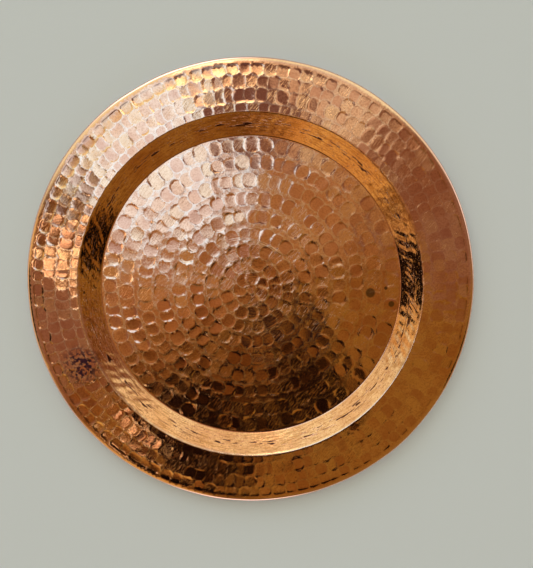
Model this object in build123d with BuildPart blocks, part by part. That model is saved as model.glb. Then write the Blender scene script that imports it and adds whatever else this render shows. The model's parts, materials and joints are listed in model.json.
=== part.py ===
"""Round hammered copper tray: one raised copper sheet whose edge is rolled round a wire hoop.

Millimetres, +Z up. The origin is the centre of the flat underside, so the tray stands on Z = 0.
"""
from build123d import *
from math import asin, cos, degrees, radians, sin, tan
import os

os.makedirs("parts", exist_ok=True)

# The copper sheet. Its diameters and heights are those of its upper face.
tray_diameter = 330.0  # over the rolled edge
sheet_thickness = 1.0
well_diameter = 225.2  # flat floor of the well, out to the foot of the wall
lip_diameter = 254.2  # where the wall turns over into the rim
lip_height = 10.0
rim_droop = 1.3  # degrees that the rim falls away outwards from the lip
foot_bend_radius = 2.0  # inside the bend at the foot of the wall
lip_bend_radius = 1.0  # inside the bend at the lip

# The wired edge. The sheet goes round the wire and stops just short of the rim's underside.
wire_diameter = 3.0
wire_play = 0.05  # between the wire and the sheet that is rolled round it
roll_sweep = 290.0  # degrees of the wire that the sheet covers, from its top outwards
wire_butt_gap = 1.0  # between the two cut ends of the hoop

roll_inner_radius = wire_diameter / 2 + wire_play
roll_outer_radius = roll_inner_radius + sheet_thickness
hoop_radius = tray_diameter / 2 - roll_outer_radius

# Where the rim meets the roll: the roll is tangent to both faces of the drooping rim.
droop = radians(rim_droop)
rim_end_radius = hoop_radius + roll_outer_radius * sin(droop)
rim_end_height = lip_height - (rim_end_radius - lip_diameter / 2) * tan(droop)
hoop_height = rim_end_height - roll_outer_radius * cos(droop)
hoop_centre = Vector(hoop_radius, hoop_height)
rim_normal = Vector(sin(droop), cos(droop))

# Corners of the upper face, and of the lower face one sheet thickness away from it.
foot = Vector(well_diameter / 2, sheet_thickness)
lip = Vector(lip_diameter / 2, lip_height)
wall_direction = (lip - foot).normalized()
wall_normal = Vector(-wall_direction.Y, wall_direction.X)


def lower_corner(corner, first_normal, second_normal):
    """The corner of the lower face that belongs to a corner between two stretches of the upper face."""
    bisector = (first_normal + second_normal) / (1 + first_normal.dot(second_normal))
    return corner - bisector * sheet_thickness


lower_foot = lower_corner(foot, Vector(0, 1), wall_normal)
lower_lip = lower_corner(lip, wall_normal, rim_normal)

# Tray sheet: the section runs out along the upper face, round the roll and back along the lower face.
with BuildPart() as tray_sheet:
    with BuildSketch(Plane.XZ):
        with BuildLine():
            upper_face = FilletPolyline(
                (0, sheet_thickness),
                foot,
                lip,
                hoop_centre + rim_normal * roll_outer_radius,
                radius=[foot_bend_radius, lip_bend_radius + sheet_thickness],
            )
            roll_outside = CenterArc(hoop_centre, roll_outer_radius, 90 - rim_droop, -roll_sweep)
            roll_inside = CenterArc(hoop_centre, roll_inner_radius, 90 - rim_droop, -roll_sweep)
            lower_face = FilletPolyline(
                (0, 0),
                lower_foot,
                lower_lip,
                hoop_centre + rim_normal * roll_inner_radius,
                radius=[foot_bend_radius + sheet_thickness, lip_bend_radius],
            )
            Line(upper_face @ 0, lower_face @ 0)
            Line(roll_outside @ 1, roll_inside @ 1)
        make_face()
    revolve(axis=Axis.Z)

# Rim wire: a round rod bent into an open hoop, lying inside the rolled edge.
with BuildPart() as rim_wire:
    with BuildSketch(Plane.XZ):
        with Locations(hoop_centre):
            Circle(wire_diameter / 2)
    revolve(axis=Axis.Z, revolution_arc=360 - degrees(2 * asin(wire_butt_gap / 2 / hoop_radius)))

tray_sheet.part.label = "tray_sheet"
rim_wire.part.label = "rim_wire"

export_step(tray_sheet.part, "parts/tray_sheet.step")
export_step(rim_wire.part, "parts/rim_wire.step")
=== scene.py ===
"""Looks of the hammered copper tray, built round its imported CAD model.

The frame is in metres. The sheet's section and its hammer marks are worked out in millimetres and
scaled once, where the mesh is made.
"""
import json
import math

import bpy
import numpy as np
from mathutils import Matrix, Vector
from mathutils.geometry import delaunay_2d_cdt


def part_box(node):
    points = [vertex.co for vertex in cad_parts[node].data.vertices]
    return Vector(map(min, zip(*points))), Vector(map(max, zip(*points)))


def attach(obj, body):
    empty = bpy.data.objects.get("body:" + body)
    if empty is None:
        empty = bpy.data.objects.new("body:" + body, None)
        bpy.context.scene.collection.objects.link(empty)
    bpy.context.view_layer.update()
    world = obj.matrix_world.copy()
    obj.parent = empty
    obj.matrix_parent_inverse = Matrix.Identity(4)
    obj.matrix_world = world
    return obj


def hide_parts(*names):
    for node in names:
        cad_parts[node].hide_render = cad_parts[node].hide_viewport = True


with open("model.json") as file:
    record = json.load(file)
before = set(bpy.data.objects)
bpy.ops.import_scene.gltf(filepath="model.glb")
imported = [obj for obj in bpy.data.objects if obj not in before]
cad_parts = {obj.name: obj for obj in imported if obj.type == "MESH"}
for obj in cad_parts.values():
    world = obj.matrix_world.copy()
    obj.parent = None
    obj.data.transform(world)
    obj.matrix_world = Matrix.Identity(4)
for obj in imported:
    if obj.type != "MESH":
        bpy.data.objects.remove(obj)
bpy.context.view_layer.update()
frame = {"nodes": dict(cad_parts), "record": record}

MM = 0.001
SEED = 7

# ---------------------------------------------------------------------------------------------
# Sizes and places, in millimetres
# ---------------------------------------------------------------------------------------------
wire_low, wire_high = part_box("rim_wire")
sheet_low, sheet_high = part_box("tray_sheet")
mount_height = {mount["name"]: mount["pos_m"][2] for mount in frame["record"]["mounts"]}

# The sheet's section, as in the CAD model. Radii and heights are those of its upper face.
SHEET_THICKNESS = mount_height["well_floor"] / MM
TRAY_RADIUS = sheet_high.x / MM
HOOP_HEIGHT = (wire_high.z + wire_low.z) / 2 / MM
WELL_RADIUS = 112.6
LIP_RADIUS = 127.1
LIP_HEIGHT = 10.0
FOOT_BEND = 2.0
LIP_BEND = 2.0
ROLL_RADIUS = 2.55
ROLL_SWEEP = math.radians(290)
HOOP_RADIUS = TRAY_RADIUS - ROLL_RADIUS
BEAD_INNER_RADIUS = 159.4  # the outermost row of marks stops here, against the roll

# The hammer's print: a shallow dish, a steep edge and a low burr of displaced metal round it.
EDGE_WIDTH = 0.5
BURR_WIDTH = 0.28
BURR_HEIGHT = 0.034
WEAK_SIDE = math.radians(-20)  # where the tray was struck most lightly
UNDERSIDE_SHARE = 0.35  # how much of a mark's depth shows on the other side of the sheet

# Unevenness of the sheet as a whole, and of its wall, which is lumpiest at the tray's left and right.
RIPPLE_HEIGHT = 0.10
RIPPLE_LENGTH = 42
LUMP_HEIGHT = 0.03
SIDE_LUMP_HEIGHT = 0.08
HOLLOW_DEPTH = 0.15  # of the wall's middle, below a straight wall
HOLLOW_HALF_WIDTH = 6.5

# Wear, dirt, painted shade and painted highlights. A place is (x, y), and a stain is a place and a half
# width.
CREVICE_DEPTH = 0.12  # a mark this deep beside the roll gets the full painted shade
CREVICE_WIDTH = 0.55
LIP_SHEEN_SIDE = math.radians(-115)  # where the painted highlight along the lip is brightest
LIP_SHEEN = 0.45
LIP_SHEEN_WIDTH = 0.7
SCRIBED_CENTRE = (-6.2, -1.8)  # of a faint twin arc that was marked out on the well's floor
SCRIBED_RADIUS = 39.0
SCRIBED_HALF_GAP = 0.7  # between the arc's two lines
SCRIBED_TOWARDS = (0.31, 0.95)
STAINS = ((90.0, -3.0, 4.2), (106.0, -11.5, 2.6), (101.5, 0.6, 1.5))
TARNISHED_PLACE = (-126.5, -56.7)
TARNISH_INNER, TARNISH_OUTER = 8, 17
NICKS_INNER, NICKS_OUTER = 117.5, 122.5  # the band of the wall that has black nicks

# Spacing of the mesh.
OUTLINE_STEP = 0.9
GRID_STEP = 1.9
WALL_SPACING = 1.2
ROLL_SPACING = 1.1
UNDERSIDE_SPACING = 2.6
CLEARANCE = 0.5  # between scattered points, and from them to the borders of their zone
BEAD_STEP = 0.5  # between the circles of points at BEAD_INNER_RADIUS
BEAD_SPACING = 0.95  # between the points on such a circle
BEAD_MARGIN = 0.9  # other points keep this far from them


# ---------------------------------------------------------------------------------------------
# Hammer marks
# ---------------------------------------------------------------------------------------------
def smooth_step(x, low, high):
    t = ((x - low) / (high - low)).clip(0, 1)
    return t * t * (3 - 2 * t)


class Marks:
    """Hammer marks struck one after another into a plane, in plan, in millimetres.

    Each mark is a shallow dish with a crisp edge and a low burr round it, and it wipes out what the
    earlier ones left inside its outline, which is a superellipse."""

    def __init__(self, seed):
        self.rng = np.random.default_rng(seed)
        self.strikes = []

    def ring(self, radius, count, out, along, depth, wander=0.7, uneven=0.07, tilt=0.009, lean=0.0,
             rise=0.95, weak=0.0, square=2.2):
        """Goes once round the tray, clockwise.

        out and along are a mark's half widths, and uneven is how much they vary; wander moves the ring in
        and out; tilt is how far the blows are off square, and lean how far they all tip the marks down
        towards the edge of the tray; rise is the share of the depth regained at a mark's edge; weak is how
        much lighter the blows are on one side; square is the power of the outline's superellipse."""
        rng = self.rng
        turn = 2 * math.pi / count
        start = rng.uniform(0, turn)
        knots = rng.normal(0, wander, 16)
        knot_angles = np.linspace(0, 2 * math.pi, len(knots), endpoint=False)
        for i in range(count):
            angle = start - (i + rng.uniform(-0.16, 0.16)) * turn
            force = 1 - weak * (0.5 + 0.5 * math.cos(angle - WEAK_SIDE))
            drift = np.interp(angle % (2 * math.pi), knot_angles, knots, period=2 * math.pi)
            self.strikes.append({
                "angle": angle,
                "radius": radius + drift + rng.normal(0, 0.5 * wander),
                "out": out * (1 + rng.normal(0, uneven)),
                "along": along * (1 + rng.normal(0, uneven)),
                "depth": depth * rng.uniform(0.7, 1.3) * force,
                "tilt_out": rng.normal(-lean, tilt),
                "tilt_along": rng.normal(0, tilt),
                "rise": rise,
                "square": square,
                "burr": BURR_HEIGHT * rng.uniform(0.5, 1.4) * force,
                "force": force,
                "tone": rng.uniform(0, 1),
            })

    def outline(self, strike, offset, spacing):
        """Points on the mark's outline, moved outwards by offset."""
        out, along = strike["out"] + offset, strike["along"] + offset
        count = max(5, round(math.pi * (out + along) / spacing))
        a = np.arange(count) * 2 * math.pi / count
        power = strike["square"]
        scale = (np.abs(np.cos(a)) ** power + np.abs(np.sin(a)) ** power) ** (-1 / power)
        return self.to_plan(strike, out * scale * np.cos(a), along * scale * np.sin(a))

    @staticmethod
    def to_plan(strike, out, along):
        """Points in plan, for places within the mark."""
        c, s = math.cos(strike["angle"]), math.sin(strike["angle"])
        r = strike["radius"] + out
        return np.stack([r * c - along * s, r * s + along * c], 1)

    @staticmethod
    def from_plan(strike, x, y):
        """For points in plan: distance beyond the mark's outline, distance from its middle as a share of
        the outline's, and place within the mark, outwards and along the ring."""
        c, s = math.cos(strike["angle"]), math.sin(strike["angle"])
        dx, dy = x - strike["radius"] * c, y - strike["radius"] * s
        out, along = dx * c + dy * s, dy * c - dx * s
        power = strike["square"]
        rho = (np.abs(out / strike["out"]) ** power + np.abs(along / strike["along"]) ** power) ** (1 / power)
        return (rho - 1) * (strike["out"] + strike["along"]) / 2, rho, out, along

    def mesh_points(self):
        """Points that a mesh needs to show the marks: close together along the outlines, sparse inside."""
        points, owner = [], []
        for index, strike in enumerate(self.strikes):
            inside = min(strike["out"], strike["along"])
            rings = ((0.0, OUTLINE_STEP), (-EDGE_WIDTH, OUTLINE_STEP * 1.2), (BURR_WIDTH, OUTLINE_STEP * 1.2),
                     (-0.42 * inside, 1.7), (-0.8 * inside, 1.9))
            for offset, spacing in rings:
                ring = self.outline(strike, offset, spacing)
                points.append(ring)
                owner.append(np.full(len(ring), index))
        points, owner = np.concatenate(points), np.concatenate(owner)
        shown = np.ones(len(points), bool)
        for index, strike in enumerate(self.strikes):
            beyond = self.from_plan(strike, points[:, 0], points[:, 1])[0]
            shown &= (owner >= index) | (beyond > 0.1)
        return points[shown]

    def surface(self, x, y):
        """Height over the untouched plane, and the ridge and tone fields, at points in plan."""
        height, ridge, tone = np.zeros_like(x), np.zeros_like(x), np.full_like(x, 0.5)
        for strike in self.strikes:
            reach = max(strike["out"], strike["along"]) + 3 * BURR_WIDTH
            cx = strike["radius"] * math.cos(strike["angle"])
            cy = strike["radius"] * math.sin(strike["angle"])
            near = np.flatnonzero((np.abs(x - cx) < reach) & (np.abs(y - cy) < reach))
            beyond, rho, out, along = self.from_plan(strike, x[near], y[near])
            dish = (-strike["depth"] * (1 - strike["rise"] * rho ** 2)
                    + strike["tilt_out"] * out + strike["tilt_along"] * along)
            inside = 1 - smooth_step(beyond, -EDGE_WIDTH, 0.0)
            line = np.exp(-(beyond / BURR_WIDTH) ** 2)
            height[near] += (dish - height[near]) * inside + strike["burr"] * line
            # the ridge field later lightens the colour: wear on the burrs and a painted highlight on them
            ridge[near] = np.maximum(ridge[near] * (1 - inside), line * strike["force"])
            tone[near] += (strike["tone"] - tone[near]) * inside
        return height, ridge, tone


def well_marks():
    """One mark in the middle and rings round it, struck from the middle outwards."""
    marks = Marks(SEED)
    rings = ((8.7, 7), (18.9, 14), (29.1, 22), (41.0, 30), (54.1, 39), (67.0, 46), (79.9, 58), (93.2, 66),
             (106.2, 68))
    marks.ring(0.6, 1, 4.4, 4.4, 0.05)
    for radius, count in rings:
        half = 5.0 + 0.004 * radius
        marks.ring(radius, count, half, half, 0.05, wander=0.5, tilt=0.010, weak=0.005 * radius, square=2.5)
    return marks


def rim_marks():
    """Two broad rows, then the small square marks along the lip and the deep row against the roll."""
    marks = Marks(SEED + 1)
    marks.ring(147.9, 118, 5.2, 4.8, 0.04, wander=0.4, uneven=0.08, weak=0.8, square=2.5)
    marks.ring(138.5, 118, 5.4, 4.7, 0.04, wander=0.4, uneven=0.08, weak=0.8, square=2.5)
    marks.ring(129.8, 106, 3.3, 4.2, 0.05, wander=0.1, lean=-0.008, weak=0.7, square=3.2)
    marks.ring(156.4, 110, 4.1, 4.8, 0.15, wander=0.12, lean=0.012, rise=0.45, weak=0.7, square=2.6)
    return marks


# ---------------------------------------------------------------------------------------------
# Section of the sheet
# ---------------------------------------------------------------------------------------------
def unit(vector):
    return vector / np.linalg.norm(vector)


def left_of(direction):
    return np.array([-direction[1], direction[0]])


def bend(before, corner, after, radius, pieces):
    """(point, upward normal) pairs along the arc that rounds a corner of the upper face."""
    first, last = unit(corner - before), unit(after - corner)
    turn = math.atan2(first[0] * last[1] - first[1] * last[0], first @ last)
    side = math.copysign(1, turn)
    start = corner - first * radius * math.tan(abs(turn) / 2)
    centre = start + side * radius * left_of(first)
    stations = []
    for k in range(pieces + 1):
        c, s = math.cos(turn * k / pieces), math.sin(turn * k / pieces)
        run = np.array([first[0] * c - first[1] * s, first[0] * s + first[1] * c])
        stations.append((centre - side * radius * left_of(run), left_of(run)))
    return stations


def straight(start, end, spacing):
    """(point, upward normal) pairs strictly between two points, about spacing apart."""
    pieces = max(1, round(np.linalg.norm(end - start) / spacing))
    normal = left_of(unit(end - start))
    return [(start + (end - start) * k / pieces, normal) for k in range(1, pieces)]


class Section:
    """The upper face's section from the centre outwards, as stations of (radius, height) and normal."""

    def __init__(self, spacing, bend_pieces, roll_spacing):
        hoop = np.array([HOOP_RADIUS, HOOP_HEIGHT])
        centre = np.array([0.0, SHEET_THICKNESS])
        foot = np.array([WELL_RADIUS, SHEET_THICKNESS])
        lip = np.array([LIP_RADIUS, LIP_HEIGHT])
        to_hoop = hoop - lip
        heading = math.atan2(to_hoop[1], to_hoop[0]) + math.asin(ROLL_RADIUS / np.linalg.norm(to_hoop))
        self.rim_normal = np.array([-math.sin(heading), math.cos(heading)])
        self.rim_end = hoop + self.rim_normal * ROLL_RADIUS
        foot_bend = bend(centre, foot, lip, FOOT_BEND, bend_pieces)
        lip_bend = bend(foot, lip, self.rim_end, LIP_BEND, bend_pieces)
        self.rim_start = lip_bend[-1][0]
        self.well = straight(centre, foot_bend[0][0], spacing)
        self.wall = foot_bend + straight(foot_bend[-1][0], lip_bend[0][0], spacing) + lip_bend
        self.rim = straight(self.rim_start, self.rim_end, spacing)
        pieces = math.ceil(ROLL_RADIUS * ROLL_SWEEP / roll_spacing)
        spokes = [heading + math.pi / 2 - ROLL_SWEEP * k / pieces for k in range(pieces + 1)]
        self.roll = [(hoop + ROLL_RADIUS * np.array([math.cos(a), math.sin(a)]),
                      np.array([math.cos(a), math.sin(a)])) for a in spokes]


# ---------------------------------------------------------------------------------------------
# The sheet's mesh
# ---------------------------------------------------------------------------------------------
class Skin:
    """Vertices of the sheet's skin as places on the plain upper face, and the triangles between them."""

    def __init__(self):
        self.columns = []
        self.faces = []
        self.count = 0

    def add(self, x, y, radius, height, normal, below, share):
        """below is how far under the upper face the points lie; share is how much hand work they show."""
        n = len(x)
        self.columns.append(np.stack([x, y, np.full(n, radius) if np.isscalar(radius) else radius,
                                      np.full(n, height) if np.isscalar(height) else height,
                                      np.full(n, normal[0]), np.full(n, normal[1]),
                                      np.full(n, below), np.full(n, share)], 1))
        self.count += n
        return self.count - n

    def ring(self, station, spacing, below=0.0, share=1.0, half_step=False):
        (radius, height), normal = station
        count = max(1, round(2 * math.pi * radius / spacing))
        angle = (np.arange(count) + (0.5 if half_step else 0.0)) * 2 * math.pi / count
        first = self.add(radius * np.cos(angle), radius * np.sin(angle), radius, height, normal, below, share)
        return first, angle

    def rings(self, stations, spacing, below=0.0, share=1.0):
        made = [self.ring(s, spacing, below, share, k % 2 == 1) for k, s in enumerate(stations)]
        for inner, outer in zip(made, made[1:]):
            self.stitch(inner, outer)
        return made[0], made[-1]

    def stitch(self, inner, outer):
        """Triangles between two rings, which follow each other along the section."""
        (a0, a), (b0, b) = inner, outer
        a_turn, b_turn = np.append(a, a[0] + 2 * math.pi), np.append(b, b[0] + 2 * math.pi)
        if len(a) > 1:
            i = np.arange(len(a))
            j = np.searchsorted(b_turn, a_turn[1:], side="right") - 1
            self.faces.append(np.stack([a0 + i, b0 + j.clip(0) % len(b), a0 + (i + 1) % len(a)], 1))
        if len(b) > 1:
            j = np.arange(len(b))
            i = np.searchsorted(a_turn, b_turn[1:], side="left") - 1
            self.faces.append(np.stack([a0 + i.clip(0) % len(a), b0 + j, b0 + (j + 1) % len(b)], 1))

    def fill(self, borders, points, radius, height, normal):
        """Triangles over a flat zone: a disc or a washer between border rings, through scattered points."""
        first = self.add(points[:, 0], points[:, 1], radius, height, normal, 0.0, 1.0)
        plan = np.concatenate(self.columns)[:, :2]
        index = np.concatenate([first_of + np.arange(len(angle)) for first_of, angle in borders]
                               + [first + np.arange(len(points))])
        made = delaunay_2d_cdt([Vector(p) for p in plan[index].tolist()], [], [], 0, 1e-7, False)
        tri = np.array(made[2])
        if len(made[0]) != len(index):
            raise RuntimeError("two points of the skin coincide")
        if len(borders) > 1:
            tri = tri[(tri >= len(borders[0][1])).any(1)]
        corner = plan[index][tri]
        ab, ac = corner[:, 1] - corner[:, 0], corner[:, 2] - corner[:, 0]
        clockwise = ab[:, 0] * ac[:, 1] < ab[:, 1] * ac[:, 0]
        tri[clockwise] = tri[clockwise][:, ::-1]
        self.faces.append(index[tri])


def thin_out(points, cell):
    """Keeps about one point in each cell of a grid, the earliest in the list."""
    row = 100003  # more cells than the grid has across
    for shift in (0.0, 0.5):
        key = np.floor(points / cell + shift).astype(np.int64)
        _, first = np.unique(key[:, 0] * row + key[:, 1], return_index=True)
        points = points[np.sort(first)]
    return points


def scattered(marks, low, high):
    """Mesh points for a flat zone between two radii: round the marks, and a loose grid between them."""
    points = thin_out(marks.mesh_points(), CLEARANCE)
    row_step = 0.866 * GRID_STEP  # the height of an equilateral triangle
    x, y = np.meshgrid(np.arange(-high, high, GRID_STEP), np.arange(-high, high, row_step))
    x[::2] += GRID_STEP / 2
    grid = np.stack([x.ravel(), y.ravel()], 1)
    cell = np.floor(points / GRID_STEP).astype(np.int64)
    taken = set(map(tuple, cell.tolist()))
    free = [tuple(c) not in taken for c in np.floor(grid / GRID_STEP).astype(np.int64).tolist()]
    points = np.concatenate([points, grid[free]])
    radius = np.hypot(points[:, 0], points[:, 1])
    off_bead = np.abs(radius - BEAD_INNER_RADIUS) > BEAD_MARGIN
    return points[(radius > low + CLEARANCE) & (radius < high - CLEARANCE) & off_bead]


def circles(radii, spacing):
    points = []
    for radius in radii:
        a = np.arange(0, 2 * math.pi, spacing / radius)
        points.append(np.stack([radius * np.cos(a), radius * np.sin(a)], 1))
    return np.concatenate(points)


def ripple(x, y, rng, waves, wavelength):
    """Smooth random undulation of about unit size, as a sum of plane waves."""
    total = np.zeros_like(x)
    for _ in range(waves):
        heading, phase = rng.uniform(0, 2 * math.pi, 2)
        k = 2 * math.pi / (wavelength * rng.uniform(0.7, 1.5))
        total += np.cos(k * (x * math.cos(heading) + y * math.sin(heading)) + phase)
    return total / math.sqrt(waves)


def hand_work(x, y, radius, marks_in_well, marks_on_rim):
    """Height of the hand work over the plain section, and the fields that colour it.

    The marks fade out before the foot of the wall, the lip and the roll. The wall has lumps and a hollow."""
    height, ridge, tone = np.zeros_like(x), np.zeros_like(x), np.full_like(x, 0.5)
    well = radius < WELL_RADIUS
    rim = (radius > LIP_RADIUS - 1.5) & (radius < HOOP_RADIUS)
    for zone, marks in ((well, marks_in_well), (rim, marks_on_rim)):
        height[zone], ridge[zone], tone[zone] = marks.surface(x[zone], y[zone])
    at_foot = 1 - smooth_step(radius, WELL_RADIUS - 1.2, WELL_RADIUS - 0.4)
    over_lip = smooth_step(radius, LIP_RADIUS - 1.4, LIP_RADIUS + 0.4)
    at_bead = 1 - smooth_step(radius, BEAD_INNER_RADIUS - BEAD_STEP, BEAD_INNER_RADIUS + BEAD_STEP)
    fade = np.where(well, at_foot, over_lip * at_bead)
    on_wall = (smooth_step(radius, WELL_RADIUS + 1, WELL_RADIUS + 4)
               - smooth_step(radius, LIP_RADIUS - 3, LIP_RADIUS - 1))
    beside_bead = np.exp(-((radius - BEAD_INNER_RADIUS) / CREVICE_WIDTH) ** 2)
    # painted shade: the deep marks against the roll are darkened where shade falls
    crevice = (-height / CREVICE_DEPTH).clip(0, 1) ** 2 * beside_bead * over_lip
    rng = np.random.default_rng(SEED + 2)
    around = np.arctan2(y, x)
    lumps = sum(np.cos(around * rng.integers(25, 110) + radius * rng.uniform(0.4, 1.6) + rng.uniform(0, 6.3))
                for _ in range(9)) / 3
    uneven = LUMP_HEIGHT + SIDE_LUMP_HEIGHT * np.cos(around) ** 4
    mid_wall = (WELL_RADIUS + LIP_RADIUS) / 2
    hollow = (1 - ((radius - mid_wall) / HOLLOW_HALF_WIDTH) ** 2).clip(0, 1)
    height = (height * fade + RIPPLE_HEIGHT * ripple(x, y, rng, 7, RIPPLE_LENGTH)
              + uneven * lumps * on_wall - HOLLOW_DEPTH * hollow)
    # painted highlight along the lip, brightest on one side; it joins the ridge field, which lightens the
    # colour
    at_lip = np.exp(-((radius - LIP_RADIUS) / LIP_SHEEN_WIDTH) ** 2)
    lip_sheen = LIP_SHEEN * (1 + np.cos(around - LIP_SHEEN_SIDE)) * at_lip
    return height, {"ridge": np.maximum(ridge * fade, lip_sheen), "tone": tone, "crevice": crevice}


def tray_sheet():
    """The sheet as one closed mesh: upper face, rolled edge, and underside."""
    fine = Section(WALL_SPACING, 3, ROLL_SPACING)
    coarse = Section(UNDERSIDE_SPACING, 2, 2 * ROLL_SPACING)
    marks_in_well, marks_on_rim = well_marks(), rim_marks()
    skin = Skin()
    foot_ring, lip_ring = skin.rings(fine.wall, WALL_SPACING)
    roll_start, roll_end = skin.rings(fine.roll, ROLL_SPACING)
    well_points = scattered(marks_in_well, -1.0, fine.wall[0][0][0])
    skin.fill([foot_ring], well_points, np.hypot(*well_points.T), SHEET_THICKNESS, (0.0, 1.0))
    rim_points = np.concatenate([
        scattered(marks_on_rim, fine.rim_start[0], fine.rim_end[0]),
        circles([BEAD_INNER_RADIUS + step for step in (-BEAD_STEP, 0, BEAD_STEP)], BEAD_SPACING),
    ])
    rim_radius = np.hypot(*rim_points.T)
    (start_radius, start_height), (end_radius, end_height) = fine.rim_start, fine.rim_end
    rim_height = np.interp(rim_radius, [start_radius, end_radius], [start_height, end_height])
    skin.fill([lip_ring, roll_start], rim_points, rim_radius, rim_height, fine.rim_normal)
    under = coarse.roll[::-1] + coarse.rim[::-1] + coarse.wall[::-1] + coarse.well[::-1]
    under.append((np.array([0.0, SHEET_THICKNESS]), np.array([0.0, 1.0])))
    under_start, _ = skin.rings(under, UNDERSIDE_SPACING, SHEET_THICKNESS, UNDERSIDE_SHARE)
    skin.stitch(roll_end, under_start)

    x, y, radius, height, normal_out, normal_up, below, share = np.concatenate(skin.columns).T
    hand, fields = hand_work(x, y, radius, marks_in_well, marks_on_rim)
    fields["upper"] = (below == 0).astype(float)
    lift = hand * share - below
    stretch = 1 + normal_out * lift / np.maximum(radius, 1e-6)
    points = np.stack([x * stretch, y * stretch, height + normal_up * lift], 1) * MM
    mesh = bpy.data.meshes.new("hammered_tray_sheet")
    mesh.from_pydata(points.tolist(), [], np.concatenate(skin.faces).tolist())
    mesh.polygons.foreach_set("use_smooth", np.ones(len(mesh.polygons), bool))
    mesh.set_sharp_from_angle(angle=math.radians(50))
    for name, values in fields.items():
        mesh.attributes.new(name, "FLOAT", "POINT").data.foreach_set("value", values.astype(np.float32))
    piece = bpy.data.objects.new("hammered_tray_sheet", mesh)
    bpy.context.scene.collection.objects.link(piece)
    return piece


# ---------------------------------------------------------------------------------------------
# Materials
# ---------------------------------------------------------------------------------------------
class Nodes:
    """A short way to write a node tree."""

    def __init__(self, tree):
        self.tree = tree
        tree.nodes.clear()

    def add(self, kind, inputs=(), **settings):
        node = self.tree.nodes.new(kind)
        for key, value in settings.items():
            setattr(node, key, value)
        for socket, value in dict(inputs).items():
            if isinstance(value, bpy.types.NodeSocket):
                self.tree.links.new(value, node.inputs[socket])
            else:
                node.inputs[socket].default_value = value
        return node

    def noise(self, vector, scale, detail=2.0):
        inputs = {"Vector": vector, "Scale": scale, "Detail": detail}
        return self.add("ShaderNodeTexNoise", inputs).outputs["Fac"]

    def span(self, value, low, high, start=0.0, end=1.0):
        """Goes from start to end as the value goes from low to high, and no further."""
        return self.add("ShaderNodeMapRange", {
            "Value": value, "From Min": low, "From Max": high, "To Min": start, "To Max": end,
        }).outputs["Result"]

    def maths(self, operation, *inputs):
        return self.add("ShaderNodeMath", enumerate(inputs), operation=operation).outputs[0]

    def times(self, first, second):
        return self.maths("MULTIPLY", first, second)

    def vector(self, operation, *inputs):
        node = self.add("ShaderNodeVectorMath", enumerate(inputs), operation=operation)
        return node.outputs["Value" if operation in ("LENGTH", "DOT_PRODUCT") else "Vector"]

    def mixed(self, factor, first, second):
        return self.add("ShaderNodeMix", {"Factor": factor, 6: first, 7: second}, data_type="RGBA").outputs[2]


def material(name, kind=Nodes):
    """A new material, and the nodes to build it with."""
    made = bpy.data.materials.new(name)
    made.use_nodes = True
    return made, kind(made.node_tree)


# Colours of the copper, each laid over the ones before it. A mark is dull or golden by its tone.
CLOUD_DEEP = (0.84, 0.38, 0.20, 1)
CLOUD_PALE = (0.96, 0.53, 0.32, 1)
PATCH = (0.66, 0.27, 0.15, 1)
MOTTLE = (0.60, 0.24, 0.12, 1)
DULL_MARK = (0.66, 0.27, 0.16, 1)
GOLDEN_MARK = (0.99, 0.60, 0.33, 1)
# pale copper of wear, also painted as a highlight on the burrs and along the lip
WEAR_AND_SHEEN = (0.99, 0.74, 0.55, 1)
# paler copper of handling wear, also a painted sheen on the rolled edge
HANDLING_WEAR_AND_SHEEN = (0.97, 0.62, 0.47, 1)
# a dark colour painted as shade into the deep marks beside the roll
CREVICE_SHADE = (0.12, 0.045, 0.03, 1)
VEIN = (0.50, 0.20, 0.07, 1)
STAIN = (0.16, 0.10, 0.06, 1)
TARNISH = (0.10, 0.045, 0.09, 1)
NICK = (0.10, 0.035, 0.02, 1)
PIT = (0.25, 0.09, 0.05, 1)


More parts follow.
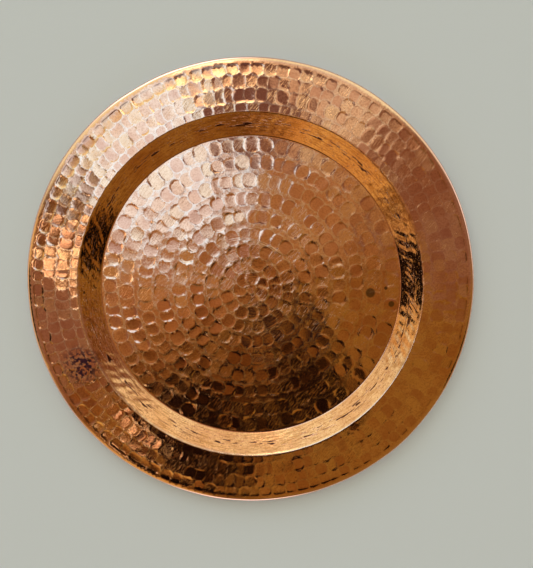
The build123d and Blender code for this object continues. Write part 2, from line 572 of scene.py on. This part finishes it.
class CopperNodes(Nodes):
    """Places on the tray, in millimetres, and the patterns that its colour and its relief both use."""

    def __init__(self, tree):
        super().__init__(tree)
        self.place = self.vector("MULTIPLY", self.add("ShaderNodeTexCoord").outputs["Object"], (1 / MM,) * 3)
        self.flat = self.vector("MULTIPLY", self.place, (1, 1, 0))
        self.radius = self.vector("LENGTH", self.flat)
        self.bearing = self.vector("NORMALIZE", self.flat)
        self.tone, self.ridge, self.crevice, self.upper = (
            self.add("ShaderNodeAttribute", attribute_name=name).outputs["Fac"]
            for name in ("tone", "ridge", "crevice", "upper"))
        self.grain = self.noise(self.place, 2.2, 3.0)
        self.mottle = self.noise(self.place, 0.8, 3.0)
        self.on_wall = self.band(WELL_RADIUS + 0.5, LIP_RADIUS - 0.5)
        self.pits = self.times(self.on_wall, self.span(self.noise(self.place, 1.1, 1.0), 0.68, 0.73))
        self.nicks = self.times(self.band(NICKS_INNER, NICKS_OUTER),
                                self.span(self.round_noise(9, 1.0, 1.0), 0.61, 0.64))
        self.scribed = self.scribed_arc()

    def round_noise(self, along, across, detail=2.0):
        """Noise drawn out round the tray: features about along by across millimetres at the wall."""
        squeezed = self.vector("MULTIPLY", self.bearing, (WELL_RADIUS / along,) * 3)
        apart = self.add("ShaderNodeCombineXYZ", {"Z": self.times(self.radius, 1 / across)}).outputs["Vector"]
        return self.noise(self.vector("ADD", squeezed, apart), 1.0, detail)

    def band(self, inner, outer, soft=1.5):
        """A soft-edged band between two radii, on the upper side only."""
        rise = self.span(self.radius, inner, inner + soft)
        fall = self.span(self.radius, outer - soft, outer, 1, 0)
        return self.times(self.times(rise, fall), self.upper)

    def from_point(self, x, y):
        return self.vector("SUBTRACT", self.flat, (x, y, 0))

    def spot(self, x, y, inner, outer, amount=1.0):
        """A round spot on the upper side only, which fades out between two radii of its own."""
        distance = self.vector("LENGTH", self.from_point(x, y))
        return self.times(self.span(distance, outer, inner, 0.0, amount), self.upper)

    def scribed_arc(self):
        """Twin lines round SCRIBED_CENTRE, on the side that lies towards SCRIBED_TOWARDS."""
        from_centre = self.from_point(*SCRIBED_CENTRE)
        off_arc = self.maths("SUBTRACT", self.vector("LENGTH", from_centre), SCRIBED_RADIUS)
        off_line = self.maths("SUBTRACT", self.maths("ABSOLUTE", off_arc), SCRIBED_HALF_GAP)
        twin_lines = self.span(self.maths("ABSOLUTE", off_line), 0.15, 0.4, 1, 0)
        x, y = SCRIBED_TOWARDS
        nearness = self.vector("DOT_PRODUCT", from_centre, (x / SCRIBED_RADIUS, y / SCRIBED_RADIUS, 0))
        return self.times(twin_lines, self.span(nearness, 0.80, 0.92))


def copper_colour(n):
    """Clouds of deep and pale copper, under layers of (amount, colour), the widest patterns first."""
    cloud = n.span(n.noise(n.place, 0.022, 3.0), 0.38, 0.62)
    patches = n.span(n.noise(n.place, 0.11, 4.0), 0.46, 0.64, 0.0, 0.45)
    # paler rolled edge: handling wear and a painted sheen on the bead
    rolled_edge_wear_and_sheen = n.span(n.radius, HOOP_RADIUS - 2, HOOP_RADIUS, 0.0, 0.6)
    veins = n.times(n.on_wall, n.span(n.round_noise(7, 0.7, 3.0), 0.50, 0.60, 0.0, 0.6))
    stains = [(n.spot(x, y, 0.7 * half, half, 0.85), STAIN) for x, y, half in STAINS]
    tarnish = n.times(n.spot(*TARNISHED_PLACE, TARNISH_INNER, TARNISH_OUTER),
                      n.span(n.noise(n.place, 0.45, 4.0), 0.44, 0.56))
    colour = n.mixed(cloud, CLOUD_DEEP, CLOUD_PALE)
    for amount, layer in [
        (patches, PATCH),
        (n.span(n.mottle, 0.45, 0.65, 0.0, 0.55), MOTTLE),
        (n.span(n.tone, 0.0, 0.5, 0.6, 0.0), DULL_MARK),
        (n.span(n.tone, 0.6, 1.0, 0.0, 0.5), GOLDEN_MARK),
        # painted highlight on the burr lines of the marks and along the lip, along with their wear
        (n.times(n.ridge, 0.65), WEAR_AND_SHEEN),
        (rolled_edge_wear_and_sheen, HANDLING_WEAR_AND_SHEEN),
        # painted shade in the deep marks beside the roll
        (n.times(n.crevice, 0.8), CREVICE_SHADE),
        (veins, VEIN),
        (n.times(n.scribed, 0.55), WEAR_AND_SHEEN),
        *stains,
        (tarnish, TARNISH),
        (n.nicks, NICK),
        (n.pits, PIT),
    ]:
        colour = n.mixed(amount, colour, layer)
    return colour


def copper_relief(n):
    """Normals of the fine relief: the grain and a weighted sum of the other patterns."""
    hatch = n.add("ShaderNodeMapping", {
        "Vector": n.place, "Rotation": (0, 0, math.radians(52)), "Scale": (6.0, 0.42, 5.0),
    }, vector_type="TEXTURE").outputs["Vector"]
    scratches = n.times(n.span(n.noise(hatch, 1.0, 1.0), 0.58, 0.70), n.span(n.tone, 0.45, 0.6))
    turned = n.times(n.round_noise(60, 0.5, 1.0), n.span(n.radius, 30, 46, 1, 0))
    streaks = n.times(n.round_noise(5, 1.4, 2.0), n.on_wall)
    height = n.times(n.grain, 0.14)
    for pattern, weight in (
        (n.mottle, 0.22), (scratches, -0.24), (turned, 0.5), (n.scribed, 0.3),
        (streaks, 1.7), (n.nicks, -1.5), (n.pits, -1.0),
    ):
        height = n.maths("MULTIPLY_ADD", pattern, weight, height)
    bump = n.add("ShaderNodeBump", {"Height": height, "Strength": 0.35, "Distance": 0.0002})
    return bump.outputs["Normal"]


def copper():
    """Hand-worked copper, a little rougher on the burrs of the marks."""
    made, n = material("hammered_copper", CopperNodes)
    rough = n.maths("ADD", n.times(n.ridge, 0.10), n.span(n.grain, 0.35, 0.65, 0.05, 0.10))
    shader = n.add("ShaderNodeBsdfPrincipled", {
        "Base Color": copper_colour(n), "Metallic": 1.0, "Roughness": rough, "Normal": copper_relief(n),
    })
    n.add("ShaderNodeOutputMaterial", {"Surface": shader.outputs["BSDF"]})
    return made


def steel_wire():
    made, n = material("drawn_steel_wire")
    place = n.add("ShaderNodeTexCoord").outputs["Object"]
    colour = n.add("ShaderNodeValToRGB", {"Fac": n.noise(place, 400.0, 3.0)})
    colour.color_ramp.elements[0].color = (0.30, 0.29, 0.28, 1)
    colour.color_ramp.elements[1].color = (0.55, 0.54, 0.53, 1)
    shader = n.add("ShaderNodeBsdfPrincipled", {
        "Base Color": colour.outputs["Color"], "Metallic": 1.0, "Roughness": 0.42,
    })
    n.add("ShaderNodeOutputMaterial", {"Surface": shader.outputs["BSDF"]})
    return made


def pale_floor():
    made, n = material("pale_floor")
    shader = n.add("ShaderNodeBsdfPrincipled", {"Base Color": (0.73, 0.76, 0.82, 1), "Roughness": 0.7})
    n.add("ShaderNodeOutputMaterial", {"Surface": shader.outputs["BSDF"]})
    return made


# ---------------------------------------------------------------------------------------------
# Floor, light and camera
# ---------------------------------------------------------------------------------------------
def floor():
    half, low = 4.0, -0.2 * MM  # just clear of the hand-worked base
    mesh = bpy.data.meshes.new("floor")
    corners = [(-half, -half, low), (half, -half, low), (half, half, low), (-half, half, low)]
    mesh.from_pydata(corners, [], [(0, 1, 2, 3)])
    mesh.materials.append(pale_floor())
    plane = bpy.data.objects.new("floor", mesh)
    bpy.context.scene.collection.objects.link(plane)


def light_tent(base, walls, panels):
    """A soft dome of light: cloth of the base colour with folds in it, brighter walls near the horizon, and
    soft-edged round panels.

    A panel is (azimuth, angle off the zenith, half width, softness, colour), in degrees. It covers the
    earlier ones."""
    world = bpy.data.worlds.new("light_tent")
    bpy.context.scene.world = world
    world.use_nodes = True
    n = Nodes(world.node_tree)
    direction = n.add("ShaderNodeTexCoord").outputs["Generated"]
    zenith = (0, 0, 1)
    cloth_half, cloth_soft = 65, 6

    def facing(aim, half, soft):
        """1 within half degrees of the aim and 0 beyond, with an edge of soft degrees on either side."""
        return n.add("ShaderNodeMapRange", {
            "Value": n.vector("DOT_PRODUCT", direction, aim),
            "From Min": math.cos(math.radians(half + soft)),
            "From Max": math.cos(math.radians(max(half - soft, 0))),
        }, interpolation_type="SMOOTHSTEP").outputs["Result"]

    folds = n.span(n.noise(direction, 14.0, 1.0), 0.35, 0.65, 0.5, 1.7)
    cloth = n.add("ShaderNodeVectorMath", {0: base, "Scale": folds}, operation="SCALE").outputs["Vector"]
    colour = n.mixed(facing(zenith, cloth_half, cloth_soft), (*walls, 1), cloth)
    for azimuth, off_zenith, half, soft, tint in panels:
        a, z = math.radians(azimuth), math.radians(off_zenith)
        aim = (math.sin(z) * math.cos(a), math.sin(z) * math.sin(a), math.cos(z))
        colour = n.mixed(facing(aim, half, soft), colour, (*tint, 1))
    back = n.add("ShaderNodeBackground", {"Color": colour, "Strength": 1.0})
    n.add("ShaderNodeOutputWorld", {"Surface": back.outputs["Background"]})


def camera():
    """Almost straight down, from about 350 mm above the tray and a little towards its far side."""
    distance, aim_height = 0.346, 0.009
    aside, forward = 0.0117, 0.0045
    tilt = math.radians(6.1)
    data = bpy.data.cameras.new("camera")
    data.sensor_width = 36
    data.lens = 29.8
    data.clip_start = 0.01
    eye = bpy.data.objects.new("camera", data)
    bpy.context.scene.collection.objects.link(eye)
    back = Vector((0, math.sin(tilt), math.cos(tilt)))
    up = Vector((0, math.cos(tilt), -math.sin(tilt)))
    eye.location = Vector((aside, 0, aim_height)) + back * distance + up * forward
    eye.rotation_euler = (-tilt, 0, 0)
    bpy.context.scene.camera = eye


# ---------------------------------------------------------------------------------------------
# Putting it together
# ---------------------------------------------------------------------------------------------
camera()
floor()
light_tent(base=(0.20, 0.107, 0.03), walls=(0.56, 0.60, 0.64), panels=[
    # fills all round the tray: three golden ones, two pale ones on the far side, two dim pinkish ones
    (318, 50, 34, 8, (0.28, 0.165, 0.035)),
    (188, 54, 19, 5, (0.80, 0.62, 0.26)),
    (66, 50, 28, 8, (1.01, 1.12, 0.80)),
    (126, 50, 28, 8, (1.01, 1.12, 0.80)),
    (240, 53, 15, 4, (0.70, 0.48, 0.15)),
    (15, 28, 13, 6, (0.27, 0.165, 0.11)),
    (200, 29, 9, 4, (0.30, 0.19, 0.13)),
    # a dark flag on each side, for the wall to mirror
    (333, 45, 8, 1.2, (0.006, 0.004, 0.003)),
    (194, 47, 10, 1.5, (0.01, 0.006, 0.004)),
    # three softboxes low down, on the far, right and near sides
    (115, 73, 20, 8, (2.5, 2.7, 3.0)),
    (20, 76, 16, 8, (1.1, 1.15, 1.25)),
    (265, 76, 12, 8, (1.6, 1.7, 1.9)),
    # soft fills overhead
    (40, 6, 8, 4, (0.44, 0.30, 0.14)),
    (195, 13.5, 8.5, 4, (0.43, 0.27, 0.12)),
    (77, 22, 12, 4, (0.78, 0.76, 0.64)),
    # two dark flags and the dark camera, towards the near side
    (250, 26.5, 8.5, 2, (0.012, 0.006, 0.004)),
    (284, 21, 6, 1.5, (0.012, 0.006, 0.004)),
    (276, 11, 3.5, 1, (0.02, 0.015, 0.015)),
    # a large cool window with a brown card in front of it
    (144, 16, 10.5, 3, (1.05, 1.55, 2.15)),
    (94, 15, 6.5, 1.5, (0.21, 0.135, 0.125)),
    # a bright softbox beyond the window and two small ones at the left
    (104, 28, 5, 3, (2.8, 2.8, 2.1)),
    (185, 24, 2.5, 1.5, (2.2, 2.0, 1.5)),
    (236, 29.5, 1.4, 0.7, (2.2, 1.8, 1.2)),
])

sheet = tray_sheet()
sheet.data.materials.append(copper())
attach(sheet, "root")
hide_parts("tray_sheet")

wire = frame["nodes"]["rim_wire"]
wire.data.materials.clear()
wire.data.materials.append(steel_wire())

bpy.context.scene.view_settings.view_transform = "Standard"
